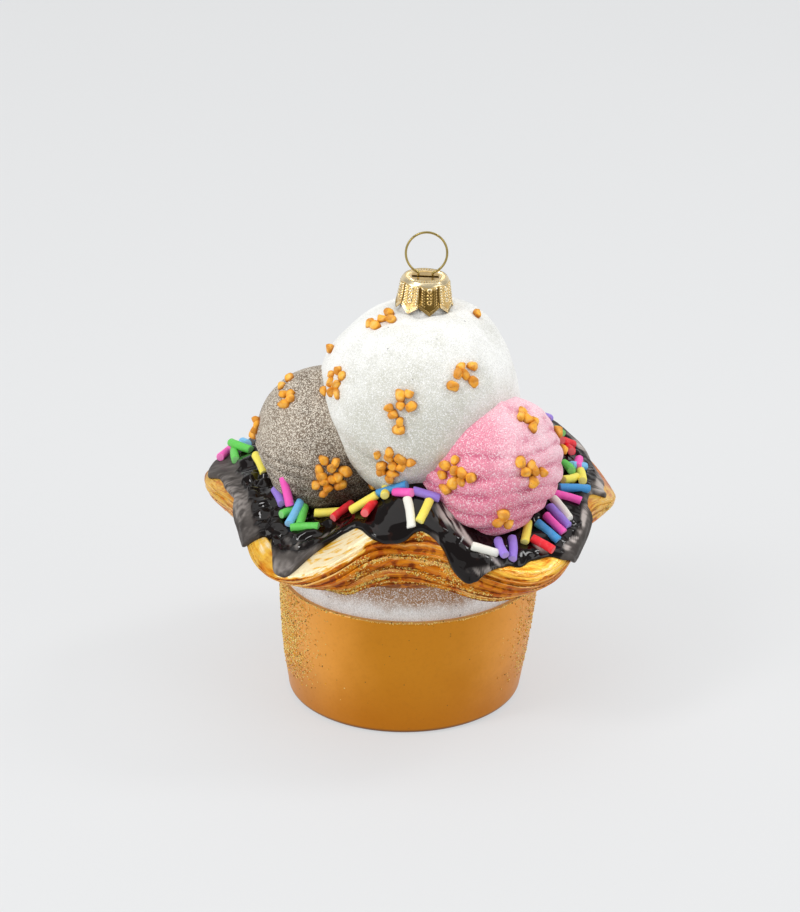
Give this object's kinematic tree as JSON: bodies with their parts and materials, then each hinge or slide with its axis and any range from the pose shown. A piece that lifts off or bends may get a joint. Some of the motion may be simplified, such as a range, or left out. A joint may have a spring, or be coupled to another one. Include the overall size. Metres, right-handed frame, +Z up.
{
  "type": "waffle sundae ornament",
  "caption": "Blown glass hanging ornament: a tapered gold cup under a wavy waffle brim coated in chocolate, glittered scoops with nuts and sprinkles, a crown cap and a wire loop.",
  "frame": {"origin": "centre of the flat foot of the cup, in the plane it rests on", "axes": "+Z up through the cup towards the wire loop, -Y towards the viewer of the picture, +X to the viewer's right"},
  "size_m": [0.0954, 0.0912, 0.1134],
  "materials": {
    "cup_gold": "satin gold lacquer over glass",
    "band_white": "white lacquer under fine glitter",
    "waffle_gold": "glossy metallic gold and amber lacquer",
    "chocolate_coat": "glossy dark brown enamel",
    "scoop_white": "white lacquer under fine glitter",
    "scoop_brown": "grey brown lacquer under fine glitter",
    "scoop_pink": "pink lacquer under fine glitter",
    "nut_chips": "glued chips, orange yellow",
    "sprinkle_colours": "short tubes in red, yellow, green, blue, purple, pink and white",
    "gold_glitter": "loose glitter grains set in clear glue",
    "cap_metal": "bright stamped gold-coloured tinplate",
    "wire_metal": "bright thin spring wire"
  },
  "bodies": {
    "root": {"glass_body": "cup_gold", "cap": "cap_metal", "hanger": "wire_metal"}
  },
  "joints": []
}
